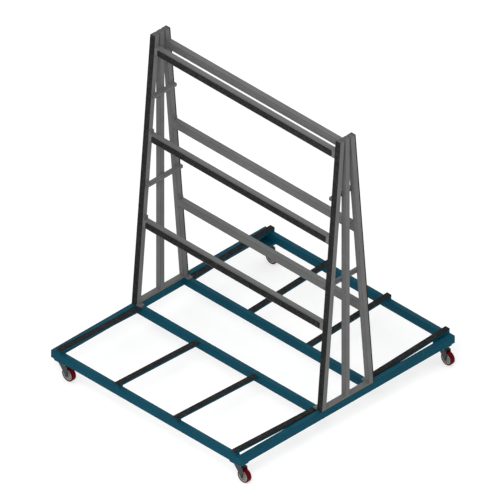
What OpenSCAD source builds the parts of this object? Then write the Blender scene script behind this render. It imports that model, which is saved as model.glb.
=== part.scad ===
// Two-sided transport trolley for glass panes, boards and other large flat goods.
// A tube base rolls on four swivel casters. Two leaning side frames stand on it, joined by
// rails on both loading sides, and rubber strips cover every face that a load touches.
// X runs along the trolley, Y across it (the front is the -Y side) and Z is up.

/* [Base] */
// Length of the base, along the trolley
base_len = 1770; // [1500:10:2000]
// Width of the base, across both loading sides
base_w = 2000; // [1700:10:2200]
// Height of the base tubes
beam_h = 60; // [50:1:80]
// Width of the base tubes
beam_w = 40; // [40:1:50]
// Wall of every tube
tube_wall = 3; // [2:0.5:4]
// Distance from the middle of the base to each inner beam's centre line
inner_beam_y = 225; // [215:1:260]

/* [Support bars] */
// Distance from each end of the base to its nearest support bar
bar_margin = 48; // [45:1:120]
// Width of the support bars and of their strips
bar_w = 40; // [30:1:50]
// Height of the support bar tubes
bar_h = 15; // [12:1:20]
// Height of the riser under each bar's outer end
riser_h = 10.5; // [6:0.5:16]

/* [Rubber strips] */
// Thickness of every rubber strip
strip_t = 8; // [5:0.5:10]
// Height of the strips on the rails
rail_strip_w = 40; // [30:1:50]
// Distance that the rail strips stop short of each leg
rail_strip_gap = 35; // [20:1:80]

/* [Side frames] */
// Height of the side frames above the base
frame_h = 2085.5; // [2060:0.5:2200]
// Side of the square tube of the legs and posts
leg_size = 40; // [34:1:40]
// Distance across the two legs of a side frame at the top, over the metal
top_spread = 134; // [132:1:200]
// Distance from an inner beam's outer face in to the leg's outer face
foot_set_in = 5; // [3:1:12]
// Thickness of the flat bar that joins the feet
foot_bar_h = 15; // [10:1:20]
// Width of the tie tubes, along the trolley
tie_w = 30; // [25:1:40]
// Height of the tie tubes
tie_h = 25; // [20:1:40]
// Height of the lower tie's centre above the base
lower_tie_z = 935; // [800:1:1100]
// Distance from the top of the side frames down to the upper tie's centre
upper_tie_drop = 461.5; // [300:0.5:600]
// Length of the foot tabs on the inner beams
tab_len = 40; // [34:1:60]
// Thickness of the foot tabs
tab_t = 8; // [6:1:12]

/* [Rails] */
// Height of the rail tubes
rail_h = 60; // [50:1:70]
// Distance up the leg from the base to the lowest rail's centre
first_rail = 640; // [560:1:700]
// Distance down the leg from its top to the highest rail's centre
last_rail = 112.7; // [90:0.1:160]
// Height of the lugs on the lower and middle rails
lug_h = 22; // [18:1:30]
// Thickness of the lugs, along the trolley
lug_t = 12; // [8:1:16]

/* [Casters] */
// Wheel diameter
wheel_d = 100; // [90:1:110]
// Width of the tread
wheel_w = 36; // [30:1:40]
// Distance from the swivel axis back to the axle
caster_trail = 52; // [40:1:60]
// Distance from each end of the base to the swivel axes
caster_inset_x = 66; // [60:1:90]
// Distance from each side of the base to the swivel axes
caster_inset_y = 51; // [50:1:80]
// Length of the caster plates and pads, along the trolley
plate_l = 105; // [100:1:115]
// Width of the caster plates and pads
plate_w = 80; // [80:1:95]
// Distance between plate bolts, along the trolley
bolt_span_l = 80; // [77:1:82]
// Distance between plate bolts, across the trolley
bolt_span_w = 60; // [58:1:64]
// Thickness of the pads between the base and the casters
pad_h = 16; // [12:1:24]

/* [Hidden] */
teal = [0.07, 0.31, 0.38];
grey = [0.41, 0.41, 0.40];
rubber = [0.15, 0.15, 0.16];
steel = [0.62, 0.62, 0.64];
hub_grey = [0.78, 0.78, 0.76];
tyre_red = [0.44, 0.00, 0.05];
$fn = 64;

// Room left around parts that only sit together, and around parts that turn
fit_gap = 0.2;
run_gap = 0.05;
face_gap = 0.3;

// Caster sizes that follow from the wheel
caster_plate_t = 4;
plate_corner = 6;
pad_corner = 4;
race_r = 29;
upper_race_h = 12;
lower_race_h = 2;
crown_t = 4;
crown_gap = 14;
crown_z = wheel_d + crown_gap;
crown_top = crown_z + crown_t;
plate_z = crown_top + lower_race_h + face_gap + upper_race_h;
caster_h = plate_z + caster_plate_t;
kingpin_r = 6;
kingpin_head_r = 11;
kingpin_head_h = 4;
fork_t = 4;
fork_in = wheel_w / 2 + 3;
fork_boss_r = 12;
fork_back = -24;
fork_fore = caster_trail;
hub_r = 0.4 * wheel_d;
rim_t = 7;
rim_set_in = 2;
hub_boss_r = 14;
web_half = 4;
tread_edge = 3;

// Heights and places
base_top = caster_h + pad_h + beam_h;
base_x = -max(0, caster_trail + wheel_d / 2 - caster_inset_x) / 2;
half_len = base_len / 2;
half_w = base_w / 2;
inner_face_y = inner_beam_y + beam_w / 2;
leg_x = half_len - leg_size;
foot_y = inner_face_y - foot_set_in;
lean = atan((foot_y - top_spread / 2) / frame_h);
leg_len = frame_h / cos(lean);
leg_reach = 1.1 * leg_len;
rail_w = leg_size;
rail_pitch = (leg_len - last_rail - first_rail) / 2;
upper_tie_z = frame_h - upper_tie_drop;
plug_t = 5;

// Support bars fall towards the middle, down to the top of the inner beams
bar_count = 4;
bar_top = riser_h + bar_h + strip_t;
bar_run = half_w - inner_face_y;
bar_fall = atan(bar_top / bar_run);
bar_pitch = (base_len - 2 * bar_margin - bar_w) / (bar_count - 1);

// Fasteners: thread radius, width across flats, head height, nut height
frame_bolt = [5, 16, 6.4, 8];
lug_bolt = [4, 13, 5.3, 6.5];
plate_bolt = [4, 13, 5.3, 6.5];
axle_bolt = [5, 17, 6.4, 8];
bolt_tip = 2;

// Placing

// The base's own frame: the middle of its top face is the origin
module at_base() {
    translate([base_x, 0, base_top])
        children();
}

// What is drawn for the rear side is mirrored to the front
module on_side(front) {
    if (front) mirror([0, 1, 0]) children();
    else children();
}

// What is drawn for the right end is mirrored to the left
module on_end(left) {
    if (left) mirror([1, 0, 0]) children();
    else children();
}

module on_all_sides() {
    for (left = [false, true], front = [false, true])
        on_end(left) on_side(front) children();
}

// A rear leg's own frame: Z runs up the leg and its outer face is at Y = 0
module lean_frame() {
    translate([0, foot_y, 0])
        rotate([lean, 0, 0])
            children();
}

// A rear support bar's own frame: the outer top edge of its strip is at Y = 0, Z = 0
module bar_frame() {
    translate([0, half_w, bar_top])
        rotate([bar_fall, 0, 0])
            children();
}

// Level layer between two heights, to cut leaning parts
module layer(z0, z1) {
    translate([-base_len, -base_w, z0])
        cube([2 * base_len, 2 * base_w, z1 - z0]);
}

// Fasteners

module hexagon(flats, h) {
    cylinder(r = flats / sqrt(3), h = h, $fn = 6);
}

// Bolt with its head above Z = 0 and a nut below the parts it holds
module bolt_and_nut(size, grip) {
    hexagon(size[1], size[2]);
    translate([0, 0, -grip - size[3] - bolt_tip])
        cylinder(r = size[0], h = grip + size[3] + bolt_tip);
    translate([0, 0, -grip - size[3]])
        difference() {
            hexagon(size[1], size[3]);
            translate([0, 0, -1])
                cylinder(r = size[0] + run_gap, h = size[3] + 2);
        }
}

module bolt_hole(size, depth) {
    translate([0, 0, -depth / 2])
        cylinder(r = size[0] + fit_gap, h = depth);
}

module at_foot_bolt() {
    translate([leg_x - tab_len / 2, inner_beam_y, 0])
        children();
}

// A lug bolt's place: Z = 0 is the leg's inner face and the head points away from the leg
module at_lug_bolt(centre) {
    lean_frame()
        translate([leg_x, -rail_w / 2, centre + (rail_h + lug_h) / 2])
            rotate([0, -90, 0])
                children();
}

// Base frame

// Beam along X against the -Y edge of a frame, with both ends mitred
module mitred_beam(length, width) {
    inner_len = length - 2 * tube_wall;
    difference() {
        translate([0, 0, -beam_h])
            linear_extrude(beam_h)
                polygon([[-length / 2, -width / 2], [length / 2, -width / 2],
                    [length / 2 - beam_w, beam_w - width / 2],
                    [beam_w - length / 2, beam_w - width / 2]]);
        translate([0, 0, tube_wall - beam_h])
            linear_extrude(beam_h - 2 * tube_wall)
                polygon([[-inner_len / 2, tube_wall - width / 2],
                    [inner_len / 2, tube_wall - width / 2],
                    [length / 2 - beam_w + tube_wall, beam_w - tube_wall - width / 2],
                    [beam_w - tube_wall - length / 2, beam_w - tube_wall - width / 2]]);
    }
}

module long_beam(front) {
    color(teal) at_base() on_side(front)
        mirror([0, 1, 0])
            mitred_beam(base_len, base_w);
}

module end_beam(left) {
    color(teal) at_base() on_end(left)
        rotate([0, 0, 90])
            mitred_beam(base_w, base_len);
}

module inner_beam(front) {
    run = base_len - 2 * beam_w;
    color(teal) at_base() on_side(front)
        difference() {
            translate([-run / 2, inner_beam_y - beam_w / 2, -beam_h])
                cube([run, beam_w, beam_h]);
            translate([-run, inner_beam_y - beam_w / 2 + tube_wall, tube_wall - beam_h])
                cube([2 * run, beam_w - 2 * tube_wall, beam_h - 2 * tube_wall]);
            for (left = [false, true])
                on_end(left) at_foot_bolt() bolt_hole(frame_bolt, 4 * tube_wall);
        }
}

// Support bars

function bar_x(i) = bar_margin - half_len + i * bar_pitch;

// Upright space between the outer edge of the base and the inner beam
module bar_space() {
    translate([-base_len, inner_face_y, -beam_h])
        cube([2 * base_len, bar_run, beam_h + 2 * bar_top]);
}

module support_bar(i, front) {
    color(teal) at_base() on_side(front)
        difference() {
            intersection() {
                bar_frame()
                    translate([bar_x(i), -1.1 * bar_run, -strip_t - bar_h])
                        cube([bar_w, 1.2 * bar_run, bar_h]);
                bar_space();
            }
            bar_frame()
                translate([bar_x(i) + tube_wall, -1.1 * bar_run, tube_wall - strip_t - bar_h])
                    cube([bar_w - 2 * tube_wall, 1.1 * bar_run - 2 * tube_wall,
                        bar_h - 2 * tube_wall]);
        }
}

module bar_strips() {
    color(rubber) at_base()
        for (front = [false, true], i = [0:bar_count - 1])
            on_side(front)
                intersection() {
                    bar_frame()
                        translate([bar_x(i), -1.1 * bar_run, -strip_t])
                            cube([bar_w, 1.2 * bar_run, strip_t]);
                    bar_space();
                }
}

// Wedge between the outer beam and the sloping underside of each bar
module bar_risers() {
    color(teal) at_base()
        for (front = [false, true], i = [0:bar_count - 1])
            on_side(front)
                difference() {
                    translate([bar_x(i), half_w - beam_w, 0])
                        cube([bar_w, beam_w, bar_top]);
                    bar_frame()
                        translate([bar_x(i) - 1, -2 * beam_w, -strip_t - bar_h])
                            cube([bar_w + 2, 3 * beam_w, 2 * bar_top]);
                }
}

// Side frames

// Leaning square bar in a rear leg's place, made smaller all round by inset
module leg_core(inset) {
    side = leg_size - 2 * inset;
    lean_frame()
        translate([leg_x + inset, inset - leg_size, -beam_h])
            cube([side, side, leg_reach]);
}

module leg(left, front) {
    color(grey) at_base() on_end(left) on_side(front)
        difference() {
            intersection() {
                leg_core(0);
                layer(0, frame_h);
            }
            leg_core(tube_wall);
            for (i = [0, 1])
                at_lug_bolt(first_rail + i * rail_pitch) bolt_hole(lug_bolt, 4 * tube_wall);
        }
}

module post(left) {
    post_h = frame_h - foot_bar_h;
    hollow = leg_size - 2 * tube_wall;
    color(grey) at_base() on_end(left)
        difference() {
            translate([leg_x, -leg_size / 2, foot_bar_h])
                cube([leg_size, leg_size, post_h]);
            translate([leg_x + tube_wall, -hollow / 2, foot_bar_h - 1])
                cube([hollow, hollow, post_h + 2]);
        }
}

// Flat bar on the end beam, cut to the lean of the legs at both ends
module foot_bar(left) {
    reach = foot_y - leg_size / 2;
    color(grey) at_base() on_end(left)
        difference() {
            translate([leg_x, -reach, 0])
                cube([leg_size, 2 * reach, foot_bar_h]);
            leg_core(0);
            mirror([0, 1, 0]) leg_core(0);
        }
}

// Half the distance across the legs' outer faces at a height
function half_spread(z) = foot_y - z * tan(lean);

module tie(left, z) {
    reach = half_spread(z);
    color(grey) at_base() on_end(left)
        translate([leg_x - tie_w, -reach, z - tie_h / 2])
            difference() {
                cube([tie_w, 2 * reach, tie_h]);
                translate([tube_wall, -1, tube_wall])
                    cube([tie_w - 2 * tube_wall, 2 * reach + 2, tie_h - 2 * tube_wall]);
            }
}

// Rails

module rail(front, row) {
    centre = first_rail + row * rail_pitch;
    color(grey) at_base() on_side(front) lean_frame()
        translate([-leg_x, -rail_w, centre - rail_h / 2])
            difference() {
                cube([2 * leg_x, rail_w, rail_h]);
                translate([-1, tube_wall, tube_wall])
                    cube([2 * leg_x + 2, rail_w - 2 * tube_wall, rail_h - 2 * tube_wall]);
            }
}

// Strips on the outer faces of the legs and rails
module frame_strips() {
    strip_run = 2 * (leg_x - rail_strip_gap);
    color(rubber) at_base()
        for (front = [false, true]) {
            for (left = [false, true])
                on_end(left) on_side(front)
                    intersection() {
                        lean_frame()
                            translate([leg_x, 0, -beam_h])
                                cube([leg_size, strip_t, leg_reach]);
                        layer(0, frame_h);
                    }
            for (row = [0, 1, 2])
                on_side(front) lean_frame()
                    translate([-strip_run / 2, 0, first_rail + row * rail_pitch - rail_strip_w / 2])
                        cube([strip_run, strip_t, rail_strip_w]);
        }
}

// Tabs that hold the legs down on the inner beams, and lugs that hold the two lower rails
module frame_lugs() {
    color(grey) at_base() on_all_sides() {
        difference() {
            translate([leg_x - tab_len, inner_beam_y - beam_w / 2, 0])
                cube([tab_len, beam_w, tab_t]);
            at_foot_bolt() bolt_hole(frame_bolt, 4 * tab_t);
        }
        for (i = [0, 1])
            difference() {
                lean_frame()
                    translate([leg_x - lug_t, -rail_w, first_rail + i * rail_pitch + rail_h / 2])
                        cube([lug_t, rail_w, lug_h]);
                at_lug_bolt(first_rail + i * rail_pitch) bolt_hole(lug_bolt, 4 * lug_t);
            }
    }
}

module frame_bolts() {
    color(steel) at_base() on_all_sides() {
        at_foot_bolt()
            translate([0, 0, tab_t])
                bolt_and_nut(frame_bolt, tab_t + tube_wall);
        for (i = [0, 1])
            at_lug_bolt(first_rail + i * rail_pitch)
                translate([0, 0, lug_t])
                    bolt_and_nut(lug_bolt, lug_t + tube_wall);
    }
}

// Flush inserts in the open ends of the legs, posts and ties
module tube_plugs() {
    inset = tube_wall + fit_gap;
    side = leg_size - 2 * inset;
    color(rubber) at_base() {
        on_all_sides() {
            intersection() {
                leg_core(inset);
                layer(frame_h - plug_t, frame_h);
            }
            for (z = [lower_tie_z, upper_tie_z])
                translate([leg_x - tie_w + inset, half_spread(z) - plug_t, z - tie_h / 2 + inset])
                    cube([tie_w - 2 * inset, plug_t, tie_h - 2 * inset]);
        }
        for (left = [false, true])
            on_end(left)
                translate([leg_x + inset, -side / 2, frame_h - plug_t])
                    cube([side, side, plug_t]);
    }
}

// Casters

module at_caster(left, front) {
    side_x = left ? caster_inset_x - half_len : half_len - caster_inset_x;
    on_side(front)
        translate([base_x + side_x, half_w - caster_inset_y, 0])
            children();
}

module at_plate_bolts() {
    for (x = [-0.5, 0.5], y = [-0.5, 0.5])
        translate([x * bolt_span_l, y * bolt_span_w, plate_z])
            children();
}

module rounded_plate(length, width, thick, corner) {
    linear_extrude(thick) {
        square([length - 2 * corner, width], center = true);
        square([length, width - 2 * corner], center = true);
        for (x = [-0.5, 0.5], y = [-0.5, 0.5])
            translate([x * (length - 2 * corner), y * (width - 2 * corner)])
                circle(r = corner);
    }
}

module caster_pads() {
    color(teal)
        for (left = [false, true], front = [false, true])
            at_caster(left, front)
                difference() {
                    translate([0, 0, caster_h])
                        rounded_plate(plate_l, plate_w, pad_h, pad_corner);
                    at_plate_bolts() bolt_hole(plate_bolt, 4 * pad_h);
                }
}

// Bolts run up through the plate into the pad
module caster_bolts() {
    color(steel)
        for (left = [false, true], front = [false, true])
            at_caster(left, front) at_plate_bolts() {
                translate([0, 0, -plate_bolt[2]])
                    hexagon(plate_bolt[1], plate_bolt[2]);
                cylinder(r = plate_bolt[0], h = caster_plate_t + pad_h - bolt_tip);
            }
}

// Top plate with its half of the ball race and the riveted kingpin
module caster_plate(left, front) {
    head_z = crown_z - face_gap - kingpin_head_h;
    color(steel) at_caster(left, front) {
        difference() {
            translate([0, 0, plate_z])
                rounded_plate(plate_l, plate_w, caster_plate_t, plate_corner);
            at_plate_bolts() bolt_hole(plate_bolt, 4 * caster_plate_t);
        }
        translate([0, 0, plate_z - upper_race_h])
            cylinder(r = race_r, h = upper_race_h);
        translate([0, 0, head_z])
            cylinder(r = kingpin_r, h = plate_z - head_z);
        translate([0, 0, head_z])
            cylinder(r = kingpin_head_r, h = kingpin_head_h);
    }
}

// Point where a line from a corner touches a circle, on the side given by turn
function touch_point(corner, centre, r, turn) =
    let (v = centre - corner, a = atan2(v[1], v[0]) + turn * asin(r / norm(v)) + turn * 90)
    centre + r * [cos(a), sin(a)];

module fork_side() {
    axle = [caster_trail, wheel_d / 2];
    back = [fork_back, crown_top];
    fore = [fork_fore, crown_top];
    polygon([back, fore, touch_point(fore, axle, fork_boss_r, 1), axle,
        touch_point(back, axle, fork_boss_r, -1)]);
    translate(axle)
        circle(r = fork_boss_r);
}

module fork(left, front) {
    fork_out = fork_in + fork_t;
    color(steel) at_caster(left, front)
        difference() {
            union() {
                for (y = [-fork_in, fork_out])
                    translate([0, y, 0])
                        rotate([90, 0, 0])
                            linear_extrude(fork_t)
                                fork_side();
                translate([fork_back, -fork_out, crown_z])
                    cube([fork_fore - fork_back, 2 * fork_out, crown_t]);
                translate([0, 0, crown_z])
                    cylinder(r = race_r, h = crown_t + lower_race_h);
            }
            translate([0, 0, crown_z - 1])
                cylinder(r = kingpin_r + run_gap, h = crown_t + lower_race_h + 2);
            translate([caster_trail, 2 * fork_out, wheel_d / 2])
                rotate([90, 0, 0])
                    cylinder(r = axle_bolt[0] + fit_gap, h = 4 * fork_out);
        }
}

// Axle bolt with its head on the outer side of the trolley and its nut on the inner side
module axle(left, front) {
    fork_out = fork_in + fork_t;
    color(steel) at_caster(left, front)
        translate([caster_trail, fork_out, wheel_d / 2])
            rotate([-90, 0, 0])
                bolt_and_nut(axle_bolt, 2 * fork_out);
}

module at_wheel(left, front) {
    at_caster(left, front)
        translate([caster_trail, 0, wheel_d / 2])
            rotate([90, 0, 0])
                children();
}

// Wheel centre: a boss, a web and a rim in one casting
module hub(left, front) {
    boss_half = fork_in - face_gap;
    rim_half = wheel_w / 2 - rim_set_in;
    color(hub_grey) at_wheel(left, front)
        rotate_extrude($fn = 96)
            polygon([[axle_bolt[0] + run_gap, -boss_half], [hub_boss_r, -boss_half],
                [hub_boss_r, -web_half], [hub_r - rim_t, -web_half],
                [hub_r - rim_t, -rim_half], [hub_r, -rim_half],
                [hub_r, rim_half], [hub_r - rim_t, rim_half],
                [hub_r - rim_t, web_half], [hub_boss_r, web_half],
                [hub_boss_r, boss_half], [axle_bolt[0] + run_gap, boss_half]]);
}

module tyre(left, front) {
    half = wheel_w / 2;
    color(tyre_red) at_wheel(left, front)
        rotate_extrude($fn = 96)
            polygon([[hub_r + face_gap, -half], [wheel_d / 2 - tread_edge, -half],
                [wheel_d / 2, tread_edge - half], [wheel_d / 2, half - tread_edge],
                [wheel_d / 2 - tread_edge, half], [hub_r + face_gap, half]]);
}

long_beam(true);  // base_front_beam
long_beam(false);  // base_rear_beam
end_beam(true);  // base_left_beam
end_beam(false);  // base_right_beam
inner_beam(true);  // inner_front_beam
inner_beam(false);  // inner_rear_beam
support_bar(0, true);  // front_bar_1
support_bar(1, true);  // front_bar_2
support_bar(2, true);  // front_bar_3
support_bar(3, true);  // front_bar_4
support_bar(0, false);  // rear_bar_1
support_bar(1, false);  // rear_bar_2
support_bar(2, false);  // rear_bar_3
support_bar(3, false);  // rear_bar_4
bar_risers();
bar_strips();
leg(true, true);  // left_front_leg
leg(true, false);  // left_rear_leg
leg(false, true);  // right_front_leg
leg(false, false);  // right_rear_leg
post(true);  // left_post
post(false);  // right_post
foot_bar(true);  // left_foot_bar
foot_bar(false);  // right_foot_bar
tie(true, lower_tie_z);  // left_lower_tie
tie(true, upper_tie_z);  // left_upper_tie
tie(false, lower_tie_z);  // right_lower_tie
tie(false, upper_tie_z);  // right_upper_tie
rail(true, 0);  // front_lower_rail
rail(true, 1);  // front_middle_rail
rail(true, 2);  // front_upper_rail
rail(false, 0);  // rear_lower_rail
rail(false, 1);  // rear_middle_rail
rail(false, 2);  // rear_upper_rail
frame_strips();
frame_lugs();
tube_plugs();
frame_bolts();
caster_pads();
caster_bolts();
caster_plate(true, true);  // front_left_plate
caster_plate(false, true);  // front_right_plate
caster_plate(true, false);  // rear_left_plate
caster_plate(false, false);  // rear_right_plate
fork(true, true);  // front_left_fork
fork(false, true);  // front_right_fork
fork(true, false);  // rear_left_fork
fork(false, false);  // rear_right_fork
axle(true, true);  // front_left_axle
axle(false, true);  // front_right_axle
axle(true, false);  // rear_left_axle
axle(false, false);  // rear_right_axle
hub(true, true);  // front_left_hub
hub(false, true);  // front_right_hub
hub(true, false);  // rear_left_hub
hub(false, false);  // rear_right_hub
tyre(true, true);  // front_left_tyre
tyre(false, true);  // front_right_tyre
tyre(true, false);  // rear_left_tyre
tyre(false, false);  // rear_right_tyre
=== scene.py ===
import math

import bmesh
import bpy
from mathutils import Matrix, Vector


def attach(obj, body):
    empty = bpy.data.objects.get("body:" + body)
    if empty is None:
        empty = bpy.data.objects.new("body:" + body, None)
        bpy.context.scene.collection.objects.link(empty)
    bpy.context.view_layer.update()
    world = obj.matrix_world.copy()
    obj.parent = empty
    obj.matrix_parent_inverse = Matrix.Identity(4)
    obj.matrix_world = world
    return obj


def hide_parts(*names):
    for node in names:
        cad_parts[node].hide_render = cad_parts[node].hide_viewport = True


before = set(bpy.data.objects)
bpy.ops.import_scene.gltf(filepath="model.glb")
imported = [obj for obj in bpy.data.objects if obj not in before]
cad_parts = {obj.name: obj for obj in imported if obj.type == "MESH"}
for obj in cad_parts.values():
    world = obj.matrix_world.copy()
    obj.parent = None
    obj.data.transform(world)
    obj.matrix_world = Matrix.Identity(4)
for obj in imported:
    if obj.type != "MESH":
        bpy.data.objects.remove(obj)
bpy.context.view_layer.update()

# ---------------------------------------------------------------- Camera
# The trolley is seen in a true isometric view, without perspective: from 45 degrees round
# and 35.26 degrees up. The picture's middle lies above the middle of the base's top.
BASE_MIDDLE = Vector((-0.018, 0, 0.2123))
PICTURE_HEIGHT = 3.300
PICTURE_OFFSET = (-0.0192, 0.6107)
CAMERA_DISTANCE, CAMERA_REACH = 8, 100

look_back = Vector((1, -1, 1)).normalized()
look_right = Vector((1, 1, 0)).normalized()
look_up = look_back.cross(look_right)
aim = BASE_MIDDLE + PICTURE_OFFSET[0] * look_right + PICTURE_OFFSET[1] * look_up

camera = bpy.data.objects.new("camera", bpy.data.cameras.new("camera"))
camera.data.type = "ORTHO"
camera.data.ortho_scale = PICTURE_HEIGHT
camera.data.clip_end = CAMERA_REACH
camera.location = aim + CAMERA_DISTANCE * look_back
camera.rotation_mode = "QUATERNION"
camera.rotation_quaternion = (-look_back).to_track_quat("-Z", "Y")
bpy.context.scene.collection.objects.link(camera)
bpy.context.scene.camera = camera
bpy.context.scene.view_settings.view_transform = "Standard"


# ---------------------------------------------------------------- Room
# A white studio: a matt white floor, an even white surround, and one large soft lamp to the
# left of the camera. The floor and the surround look white, and the floor keeps the shadow.
SURROUND_LIGHT = 0.86
LAMP_POWER, LAMP_SIZE = 140, 3.5
LAMP_PLACE = Vector((2.3, -3.7, 4.8))
FLOOR_REACH = 30
FLOOR_BOUNCE, FLOOR_SEEN, FLOOR_GLOW = 0.82, 0.58, 0.52
WHITE = (1, 1, 1, 1)


def linear(colour):
    """Linear colour of an sRGB hex value"""
    parts = [int(colour[i:i + 2], 16) / 255 for i in (1, 3, 5)]
    return [*(c / 12.92 if c <= 0.04045 else ((c + 0.055) / 1.055) ** 2.4 for c in parts), 1]


def add(tree, kind, put=None, **settings):
    """Adds a node with its settings. put gives each input a value or what feeds it: another
    node's output, or a node for the first output that it has switched on"""
    node = tree.nodes.new("ShaderNode" + kind)
    for name, value in settings.items():
        setattr(node, name, value)
    for name, value in (put or {}).items():
        if isinstance(value, bpy.types.Node):
            value = next(output for output in value.outputs if output.enabled)
        if isinstance(value, bpy.types.NodeSocket):
            tree.links.new(value, node.inputs[name])
        else:
            node.inputs[name].default_value = value
    return node


def empty_tree(owner):
    """The node tree of a new material or world, with its first nodes cleared away"""
    owner.use_nodes = True
    owner.node_tree.nodes.clear()
    return owner.node_tree


def seen_directly(tree):
    """1 for what the camera sees directly, mirrored or through glass, and 0 for light"""
    path = add(tree, "LightPath").outputs
    either = add(tree, "Math", {0: path["Is Camera Ray"], 1: path["Is Glossy Ray"]},
                 operation="MAXIMUM")
    return add(tree, "Math", {0: either, 1: path["Is Transmission Ray"]}, operation="MAXIMUM")


surround = bpy.data.worlds.new("white_surround")
bpy.context.scene.world = surround
tree = empty_tree(surround)
brightness = add(tree, "MapRange", {0: seen_directly(tree), 3: SURROUND_LIGHT, 4: 1.0})
sky = add(tree, "Background", {"Color": WHITE, "Strength": brightness})
add(tree, "OutputWorld", {"Surface": sky})

lamp = bpy.data.objects.new("soft_lamp", bpy.data.lights.new("soft_lamp", "AREA"))
lamp.data.shape = "DISK"
lamp.data.size = LAMP_SIZE
lamp.data.energy = LAMP_POWER
lamp.location = LAMP_PLACE
lamp.rotation_mode = "QUATERNION"
lamp.rotation_quaternion = (BASE_MIDDLE - LAMP_PLACE).to_track_quat("-Z", "Y")
bpy.context.scene.collection.objects.link(lamp)

floor_shape = bmesh.new()
bmesh.ops.create_grid(floor_shape, x_segments=4, y_segments=4, size=FLOOR_REACH)
floor_mesh = bpy.data.meshes.new("floor")
floor_shape.to_mesh(floor_mesh)
floor_shape.free()
floor = bpy.data.objects.new("floor", floor_mesh)
bpy.context.scene.collection.objects.link(floor)

floor_paint = bpy.data.materials.new("matt_white_floor")
tree = empty_tree(floor_paint)
whiteness = add(tree, "MapRange", {0: seen_directly(tree), 3: FLOOR_BOUNCE, 4: FLOOR_SEEN})
shade = add(tree, "CombineColor", {0: whiteness, 1: whiteness, 2: whiteness})
matt = add(tree, "BsdfDiffuse", {"Color": shade})
glow_level = add(tree, "Math", {0: seen_directly(tree), 1: FLOOR_GLOW}, operation="MULTIPLY")
glow = add(tree, "Emission", {"Color": WHITE, "Strength": glow_level})
both = add(tree, "AddShader", {0: matt, 1: glow})
add(tree, "OutputMaterial", {"Surface": both})
floor_mesh.materials.append(floor_paint)


# ---------------------------------------------------------------- Base beams
# Four cold-formed steel tubes, 60 x 40 x 3 mm, mitred and welded into the outer frame, and two
# more between the end beams. The welds are ground flush and all of it is powder coated.
BEAM_W, BEAM_H, TUBE_RADIUS = 0.040, 0.060, 0.0022
BASE_LEN, BASE_W, BASE_TOP = 1.770, 2.000, BASE_MIDDLE.z
INNER_BEAM_Y = 0.225
# A place at x on the right end has its mirror image at TWICE_MIDDLE - x on the left end
TWICE_MIDDLE = 2 * BASE_MIDDLE.x


def patches(tree, size, detail, within, values=(0.0, 1.0), stretch=(1, 1, 1), roughness=0.5):
    """Patches about as wide as size, in metres. Their value goes from one to the other of
    values where the cloudy noise under them goes through the range within"""
    place = add(tree, "TexCoord").outputs["Object"]
    spread = add(tree, "Mapping", {0: place, "Scale": stretch})
    cloud = add(tree, "TexNoise", {"Vector": spread, "Scale": 1 / size, "Detail": detail,
                                   "Roughness": roughness})
    return add(tree, "MapRange", {0: cloud, 1: within[0], 2: within[1],
                                  3: values[0], 4: values[1]})


def bumps(tree, size, detail, strength, height):
    """A relief of bumps about as wide as size and as high as height, in metres"""
    place = add(tree, "TexCoord").outputs["Object"]
    grain = add(tree, "TexNoise", {"Vector": place, "Scale": 1 / size, "Detail": detail})
    return add(tree, "Bump", {"Strength": strength, "Distance": height, "Height": grain})


def surface(name):
    """A new material, with its node tree and what tells its edges, which carry wear and, on
    the powder coat, painted shade
    """
    material = bpy.data.materials.new(name)
    tree = empty_tree(material)
    return material, tree, add(tree, "Attribute", attribute_name="edge").outputs["Fac"]


def finish_surface(tree, put):
    """Ends a material with its shader, which gets these inputs"""
    add(tree, "OutputMaterial", {"Surface": add(tree, "BsdfPrincipled", put)})


# Polyester powder coat on steel, sprayed and baked: a satin skin with fine orange peel, with
# painted shade along the tube's corners that draws them dark as outlines, and chips down to
# the steel there.
def powder_coat(name, colour, deep, dusty, specular):
    material, tree, edge = surface(name)
    cloud = patches(tree, size=0.18, detail=3, within=(0.3, 0.7))
    coat = add(tree, "Mix", {0: cloud, 6: linear(colour), 7: linear(deep)}, data_type="RGBA")
    # The coat's own speckle is 1 mm wide, drawn as 7 mm to show at all
    fleck = patches(tree, size=0.007, detail=1, within=(0.35, 0.65), values=(0.93, 1.07))
    shade = add(tree, "CombineColor", {0: fleck, 1: fleck, 2: fleck})
    coat = add(tree, "Mix", {0: 1.0, 6: coat, 7: shade}, data_type="RGBA",
               blend_type="MULTIPLY")
    up = add(tree, "SeparateXYZ", {0: add(tree, "NewGeometry").outputs["Normal"]}).outputs[2]
    level = add(tree, "MapRange", {0: up, 1: 0.7, 2: 1.0})
    settled = patches(tree, size=0.06, detail=4, within=(0.3, 0.8), values=(0.0, 0.1))
    dust = add(tree, "Math", {0: level, 1: settled}, operation="MULTIPLY")
    coat = add(tree, "Mix", {0: dust, 6: coat, 7: linear(dusty)}, data_type="RGBA")
    # Painted shade: the tube's corners are darkened in patches towards near-black #14191B, as
    # dark outlines
    edge_shade_amount = patches(tree, size=0.05, detail=3, within=(0.2, 0.7), values=(0.2, 0.5))
    painted_edge_shade = add(tree, "Math", {0: edge, 1: edge_shade_amount}, operation="MULTIPLY")
    coat = add(tree, "Mix", {0: painted_edge_shade, 6: coat, 7: linear("#14191B")}, data_type="RGBA")
    knocked = patches(tree, size=0.011, detail=4, within=(0.66, 0.70), roughness=0.65)
    chip = add(tree, "Math", {0: edge, 1: knocked}, operation="MULTIPLY")
    coat = add(tree, "Mix", {0: chip, 6: coat, 7: linear("#6E6A66")}, data_type="RGBA")
    satin = patches(tree, size=0.03, detail=3, within=(0.3, 0.7), values=(0.42, 0.55))
    peel = bumps(tree, size=0.0022, detail=2, strength=0.25, height=0.0002)
    finish_surface(tree, {
        "Base Color": coat, "IOR": 1.5, "Specular IOR Level": specular,
        "Roughness": add(tree, "Math", {0: satin, 1: dust}, operation="ADD"),
        "Normal": add(tree, "Bump", {"Strength": 0.6, "Distance": 0.0003, "Height": chip,
                                     "Normal": peel}, invert=True)})
    return material


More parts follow.
